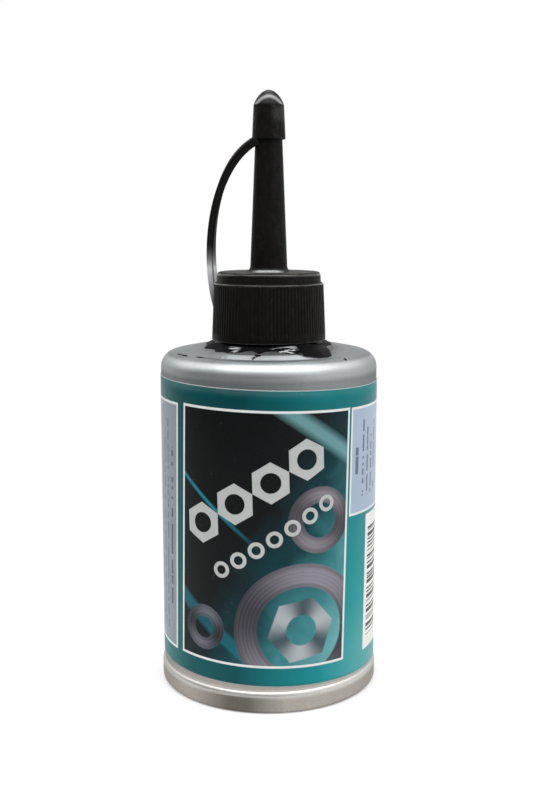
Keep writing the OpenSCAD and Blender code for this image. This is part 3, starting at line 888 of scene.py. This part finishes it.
def rounded_block(centre, axes, halves, squareness=0.22):
    """Rounded box: a ball whose sines and cosines are raised to a small power, so it fills its box."""
    up = np.linspace(-np.pi / 2, np.pi / 2, 25)[:, None]
    turn = round_angles(48)[None]

    def bent(value):
        return np.sign(value) * np.abs(value) ** squareness

    flat = bent(np.cos(up).clip(0))
    local = [flat * bent(np.cos(turn)), flat * bent(np.sin(turn)), bent(np.sin(up)) + 0 * turn]
    grid = sum(part[..., None] * half * np.array(axis) for part, half, axis in zip(local, halves, axes))
    return skin(np.array(centre) + grid)


def direction(turn, rise):
    """Unit vector from a direction round the axis and a rise, both in degrees."""
    a, e = np.radians(turn), np.radians(rise)
    return np.array([np.cos(e) * np.cos(a), np.cos(e) * np.sin(a), np.sin(e)])


def sideways(turn):
    a = np.radians(turn)
    return np.array([-np.sin(a), np.cos(a), 0.0])


ROOT_AT = np.array([ROOT_R * np.cos(np.radians(ROOT_TURN)), ROOT_R * np.sin(np.radians(ROOT_TURN)), ROOT_Z])
END_AT = np.array([END_R * np.cos(np.radians(END_TURN)), END_R * np.sin(np.radians(END_TURN)), END_Z])


def spout_cap():
    slope = (SPOUT_TIP_R - SPOUT_BASE_R) / (SPOUT_Z - CAP_TOP_Z)
    line = outline([
        (SKIRT_IN_R + SKIRT_LEAD, SKIRT_FOOT_Z, 0.08), (SKIRT_R, SKIRT_FOOT_Z, 0.2),
        (SKIRT_R - 0.03, SKIRT_FOOT_Z + RIB_BOTTOM - 0.2, 0),
        (SKIRT_TOP_R, SKIRT_TOP_Z - SKIRT_SHOULDER, 0.16), (RING_R, SKIRT_TOP_Z, 0.1),
        (RING_R - RING_DRAFT, CAP_TOP_Z, RING_EDGE), (SPOUT_BASE_R, CAP_TOP_Z, SPOUT_FILLET),
        (SPOUT_BASE_R + slope * 10, CAP_TOP_Z + 10, 0), (SPOUT_BASE_R + slope * 20, CAP_TOP_Z + 20, 0),
        (SPOUT_TIP_R, SPOUT_Z, 0.2), (OUTLET_R, SPOUT_Z, 0.06), (OUTLET_R, SPOUT_Z - OUTLET_LEN, 0),
        (SPOUT_BORE_R, CAP_TOP_Z, 0), (SPOUT_BORE_R, CAP_IN_Z, 0.15), (SEAT_R, CAP_IN_Z, 0.1),
        (SEAT_R, CAP_IN_Z - SEAT_H, 0.08), (SKIRT_IN_R, CAP_IN_Z - SEAT_H - (SKIRT_IN_R - SEAT_R), 0.1),
        (SKIRT_IN_R, SKIRT_FOOT_Z + SKIRT_LEAD, 0.1)], closed=True)
    low = SKIRT_FOOT_Z + RIB_BOTTOM
    high = SKIRT_TOP_Z - RIB_TOP
    foot_at = int(np.argmin(np.abs(line - [SKIRT_R - 0.03, low - 0.2]).sum(1)))
    heights = np.concatenate([np.linspace(low, low + 1.4, 7), np.linspace(low + 3, high - 0.6, 4),
                              np.linspace(high - 0.3, high + 0.1, 4)])
    draft = (SKIRT_R - SKIRT_TOP_R) / (SKIRT_TOP_Z - SKIRT_FOOT_Z)
    face = np.stack([SKIRT_R - draft * (heights - SKIRT_FOOT_Z), heights], 1)
    line = np.insert(line, foot_at + 1, face, 0)
    angles, depth = rib_columns()
    r, z = line.T
    on_face = (r > SKIRT_TOP_R - 0.1) & (z >= low) & (z <= high + 0.1)
    into = np.clip((z - low) / 1.2, 0, 1)
    out = np.clip((high + 0.1 - z) / 0.3, 0, 1)
    fade = on_face * into ** 2 * (3 - 2 * into) * np.sqrt(out)
    grid = lathe(line, angles)
    drop = GROOVE_R * GROOVE_SHARE * np.outer(fade, depth)
    grid[..., 0] -= drop * np.cos(angles)
    grid[..., 1] -= drop * np.sin(angles)
    lug_up = direction(ROOT_TURN, ROOT_RISE)
    lug_out = direction(ROOT_TURN, ROOT_RISE - 90)
    lug_mid = ROOT_AT - lug_up * LUG_LEN / 2 + lug_out * (STRAP_T / 2 - LUG_REACH) / 2
    lug_halves = [(LUG_REACH + STRAP_T / 2) / 2, STRAP_W / 2 + LUG_CHEEK, LUG_LEN / 2]
    parts = [
        skin(grid, loop_rows=True),
        thread(SKIRT_IN_R, NECK_R + THREAD_GAP, *CAP_THREAD_W,
               RIM_Z - THREAD_BELOW_RIM - PITCH * 2 + CAP_THREAD_UP),
        rounded_block(lug_mid, [lug_out, sideways(ROOT_TURN), lug_up], lug_halves),
    ]
    return piece("spout_cap", parts, "closure", BLACK, ["nozzle_cap"])


# Strap and tip cap

def strap():
    """Flat strap: a superellipse, slightly dished on both faces, carried along a cubic curve."""
    span = np.linalg.norm(END_AT - ROOT_AT)
    pull_a = ROOT_AT + ROOT_PULL * span * direction(ROOT_TURN, ROOT_RISE)
    pull_b = END_AT + END_PULL * span * direction(END_TURN, -END_RISE)
    t = np.linspace(0, 1, 121)[:, None]
    route = ((1 - t) ** 3 * ROOT_AT + 3 * (1 - t) ** 2 * t * pull_a
             + 3 * (1 - t) * t * t * pull_b + t ** 3 * END_AT)
    ahead = ((1 - t) ** 2 * (pull_a - ROOT_AT) + 2 * (1 - t) * t * (pull_b - pull_a)
             + t * t * (END_AT - pull_b))
    ahead /= np.linalg.norm(ahead, axis=1, keepdims=True)
    a = np.radians(ROOT_TURN + (END_TURN - ROOT_TURN) * t)
    side = np.hstack([-np.sin(a), np.cos(a), 0 * a])
    side -= (side * ahead).sum(1, keepdims=True) * ahead
    side /= np.linalg.norm(side, axis=1, keepdims=True)
    up = np.cross(ahead, side)
    thick = STRAP_T + (STRAP_END_T - STRAP_T) * t ** 2
    turn = round_angles(56)
    wide = np.sign(np.cos(turn)) * np.abs(np.cos(turn)) ** 0.36
    tall = np.sign(np.sin(turn)) * np.abs(np.sin(turn)) ** 0.36
    dish = 1 - 0.12 * np.clip(1 - (wide / 0.72) ** 2, 0, 1)
    grid = (route[:, None] + side[:, None] * (wide * STRAP_W / 2)[None, :, None]
            + up[:, None] * (tall * dish)[None, :, None] * thick[:, None] / 2)
    made = piece("strap", [skin(with_ends(grid))], None, STRAP_BLACK)
    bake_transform(made)
    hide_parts("tether_strap")
    return made


def tip_dome_cap():
    """Tip cap: its dome's height is a power of the sine, between an ellipse at 1 and a parabola at 2."""
    rise = np.linspace(np.pi / 2, 0, 33)
    dome_r = (TIP_DOME_R - DOME_STEP) * np.cos(rise).clip(0)
    dome_z = TIP_DOME_Z + DOME_H * np.sin(rise) ** DOME_POWER
    line = outline(
        [(r, z, 0) for r, z in zip(dome_r, dome_z)]
        + [(TIP_DOME_R, TIP_DOME_Z, 0.02), (TIP_RIM_R, TIP_RIM_Z, 0.12), (SOCKET_RIM_R, TIP_RIM_Z, 0.08),
           (SOCKET_TOP_R, SPOUT_Z, 0.1), (PIN_R, SPOUT_Z, 0.05), (PIN_R, SPOUT_Z - 0.75 * PIN_LEN, 0.05),
           (PIN_R / 2, SPOUT_Z - PIN_LEN, 0.05), (0, SPOUT_Z - PIN_LEN, 0)])
    toward = direction(END_TURN + 180, END_RISE)
    over = direction(END_TURN + 180, END_RISE + 90)
    lug_halves = [END_LUG_LEN / 2, STRAP_W / 2, STRAP_END_T / 2]
    parts = [
        skin(lathe(line, round_angles(144))),
        rounded_block(END_AT + toward * END_LUG_LEN / 2, [toward, sideways(END_TURN), over], lug_halves),
    ]
    return piece("tip_dome_cap", parts, "tip_cap", TIP_BLACK, ["tip_cap"])


# Grease that has crept out from under the screw cap

# Direction, spread in degrees, then reach and height as shares of the plain smear's
LUMPS = np.array([[305, 17, 4.6, 2.2], [283, 10, 0.7, 0.6], [262, 5, 1.6, 0.3], [236, 14, 2.2, 0.6],
                  [210, 14, 0.9, 1.1], [120, 25, 0.5, 0.4], [40, 20, 0.6, 0.5]])
SMEAR_REACH = 0.9
SMEAR_H = 0.35


def ripples(angle, across, count, crests, slant, seed):
    """Sum of waves round the bottle, each with a whole number of crests, its own slant and its own phase."""
    rng = np.random.default_rng(seed)
    number = rng.integers(*crests, count)[:, None, None]
    lean = rng.uniform(-slant, slant, count)[:, None, None]
    phase = rng.uniform(0, FULL_TURN, count)[:, None, None]
    return np.cos(number * angle + lean * across + phase).sum(0) / np.sqrt(count)


def crept_band():
    """Band on the shoulder: its top is a ridge by the skirt plus ripples, and it sinks under the shoulder
    where the ripples are low, which leaves a torn edge."""
    angle = round_angles(900)[None]
    t = np.linspace(0, 1, 26)[:, None]
    off = (np.degrees(angle) - LUMPS[:, :1] + 540) % 360 - 180
    swell = np.exp(-(off / LUMPS[:, 1:2]) ** 2)
    reach = (LUMPS[:, 2:3] * swell).sum(0)
    height = (LUMPS[:, 3:4] * swell).sum(0)
    inner = SKIRT_R - 0.4
    far = SKIRT_R + 0.05 + 1.5 * SMEAR_REACH * (1 + reach)[None]
    r = inner + (far - inner) * t
    past = (r - SKIRT_R - 0.05) / (far - SKIRT_R - 0.05)
    crest = SMEAR_H * (1 + height)[None]
    shape = np.where(past < 0, 0.14, np.sin(np.pi * np.clip(past, 0, 1) ** 0.55) * crest * (1 - 0.45 * past))
    coarse = ripples(angle, past * 3, 9, (6, 22), 2.0, 5)
    fine = ripples(angle, past * 6, 12, (40, 110), 3.0, 8)
    rough = (0.14 * coarse + 0.02 * fine) * (0.35 + 0.6 * crest)
    top = shape + rough * np.clip((past - 0.35) / 0.4, 0, 1) - 0.12 * np.clip(past, 0, 1)
    top = np.where(past < 0, np.minimum(top, 0.16), np.minimum(top, crest * 1.25))
    top = np.maximum(top, -0.12)
    top[-1] = -0.14
    z = shoulder_z(r)
    lid = np.stack([r * np.cos(angle), r * np.sin(angle), z + top], axis=2)
    floor = np.stack([r * np.cos(angle), r * np.sin(angle), z - 0.2], axis=2)[::-5]
    return skin(np.concatenate([lid, floor]), loop_rows=True)


def dab(turn, r_at, long_half, wide_half, height, seed):
    """Flat drop on the shoulder: a wavy ellipse in plan, with a low dome above and a shallow base."""
    rng = np.random.default_rng(seed)
    rise = np.linspace(-np.pi / 2, np.pi / 2, 17)[:, None]
    around = round_angles(64)[None]
    waves = sum(rng.uniform(0.04, 0.16) * np.cos(n * around + rng.uniform(0, FULL_TURN))
                for n in range(2, 8))
    plan = np.cos(rise) * (1 + waves)
    along = long_half * plan * np.cos(around)
    r = r_at + wide_half * plan * np.sin(around)
    angle = np.radians(turn) + along / r_at
    lift = np.where(rise > 0, height, 0.08) * np.sin(rise) * (1 + 0.3 * waves)
    return skin(np.stack([r * np.cos(angle), r * np.sin(angle), shoulder_z(r) + lift], axis=2))


# Direction in degrees, radius, half length round the bottle, half width, height, and seed of its edge
DABS = [(209, 18.4, 2.4, 0.26, 0.06, 3), (226, 18.1, 1.2, 0.2, 0.06, 4),
        (316.5, 19.2, 0.34, 0.3, 0.08, 6), (262.4, 15.3, 0.55, 0.75, 0.1, 7),
        (260.6, 16.7, 0.3, 0.75, 0.08, 9), (240, 17.0, 0.5, 0.3, 0.05, 11)]


def crept_grease():
    parts = [crept_band()] + [dab(*sizes) for sizes in DABS]
    return piece("crept_grease", parts, "bottle", GREASE, ["grease_residue"])


bottle_shell()
label_film()
spout_cap()
strap()
tip_dome_cap()
crept_grease()


def refinish(node, finish):
    """Give a node of the frame its own material."""
    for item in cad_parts[node].material_slots:
        item.material = finish


refinish("graphite_grease", FILLING)
refinish("seal_liner", FOAM)


# Floor, light and camera

WHITE = (1.0, 1.0, 1.0, 1.0)
ROOM_GREY = (0.1, 0.1, 0.1, 1.0)

# The darker side of the room: in front, to the left and low down. The camera doesn't see it. Reflections do,
# and the floor's part of it darkens the other light that bounces there too.
ROOM_X = -0.6
ROOM_Y = -0.8
ROOM_Z = -0.5
ROOM_EDGE = 0.27
ROOM_BLUR = 0.5
ROOM_FAR = 160.0

LOW_AIM = (0, 0, 0.06)

# Name, place, aim, width, height and watts
LAMPS = [("overhead", (0.0, 0.20, 0.52), LOW_AIM, 0.28, 0.18, 1.0),
         ("panel", (0.03, -0.20, 0.49), (0.03, -0.14, 0.06), 0.92, 0.36, 3.8),
         ("left", (-0.44, 0.13, 0.38), LOW_AIM, 0.34, 0.26, 0.5),
         ("right", (0.44, 0.13, 0.38), LOW_AIM, 0.34, 0.26, 0.3)]

CAMERA_AT = (-0.00015, -0.21479, 0.09002)
CAMERA_TILT = 80.85
LENS_MM = 50.0
SENSOR_MM = 36.0


def pale_floor():
    """Wide round floor. Away from the bottle it turns into the white of the background, and in front,
    for all rays but the camera's, into the grey of the room."""
    f = new_finish("pale_floor")
    at, (x, y, z) = f.place()
    paper = f.noise(at, 0.8, 3.0)
    colour = f.mix(paper, linear(243, 243, 243), linear(247, 247, 247))
    light_path = f.node("LightPath").socket.node
    in_view = Wire(f, light_path.outputs["Is Camera Ray"])
    in_front = f.step(ROOM_X * x + ROOM_Y * y, ROOM_FAR, ROOM_FAR) * (1.0 - in_view)
    colour = f.mix(in_front, colour, linear(96, 96, 96))
    lit = f.node("BsdfDiffuse", inputs={"Color": colour})
    white = f.node("Emission", inputs={"Color": WHITE, "Strength": 1.0})
    seen = f.larger(in_view, Wire(f, light_path.outputs["Is Glossy Ray"]))
    seen = f.larger(seen, Wire(f, light_path.outputs["Is Transmission Ray"]))
    away = f.step(f.length(x, y), 90.0, 130.0)
    share = seen * (0.25 + 0.75 * away) * (1.0 - in_front)
    shade = f.node("MixShader", inputs={0: share, 1: lit, 2: white})
    f.node("OutputMaterial", inputs={"Surface": shade})
    radii = np.array([0.0, 60.0, 200.0, 800.0, 3000.0])
    disc = np.stack([radii, np.full(5, -0.02)], 1)
    floor = piece("pale_floor", [skin(lathe(disc, round_angles(96)))], None, f.owner)


def lamp(name, at, aim, wide, tall, watts):
    """Soft box: a lit rectangle turned to face the aim."""
    light = bpy.data.lights.new(name, "AREA")
    light.shape = "RECTANGLE"
    light.size = wide
    light.size_y = tall
    light.energy = watts
    made = bpy.data.objects.new(name, light)
    back = np.array(at, float) - np.array(aim, float)
    back /= np.linalg.norm(back)
    made.location = at
    made.rotation_euler = (np.arccos(back[2]), 0, np.arctan2(back[0], -back[1]))
    bpy.context.scene.collection.objects.link(made)


def studio():
    for row in LAMPS:
        lamp(*row)
    world = bpy.data.worlds.new("studio")
    bpy.context.scene.world = world
    w = Finish(world)
    ray = w.node("LightPath").socket.node
    in_view = Wire(w, ray.outputs["Is Camera Ray"])
    seen = w.larger(in_view, Wire(w, ray.outputs["Is Glossy Ray"]))
    seen = w.larger(seen, Wire(w, ray.outputs["Is Transmission Ray"]))
    soft = w.node("Background", inputs={"Color": WHITE, "Strength": 0.25})
    height = w.node("SeparateXYZ", inputs={0: w.node("TexCoord", out=0)}).socket.node
    towards = ROOM_X * Wire(w, height.outputs[0]) + ROOM_Y * Wire(w, height.outputs[1])
    towards = towards + ROOM_Z * Wire(w, height.outputs[2])
    sky = w.mix(w.step(towards, ROOM_EDGE, ROOM_BLUR) * (1.0 - in_view), WHITE, ROOM_GREY)
    white = w.node("Background", inputs={"Color": sky, "Strength": 1.0})
    both = w.node("MixShader", inputs={0: seen, 1: soft, 2: white})
    w.node("OutputWorld", inputs={"Surface": both})


def camera():
    data = bpy.data.cameras.new("camera")
    data.lens = LENS_MM
    data.sensor_width = SENSOR_MM
    made = bpy.data.objects.new("camera", data)
    made.location = CAMERA_AT
    made.rotation_euler = (np.radians(CAMERA_TILT), 0, 0)
    bpy.context.scene.collection.objects.link(made)
    bpy.context.scene.camera = made


pale_floor()
studio()
camera()
bpy.context.scene.view_settings.view_transform = "Standard"

bpy.context.view_layer.update()
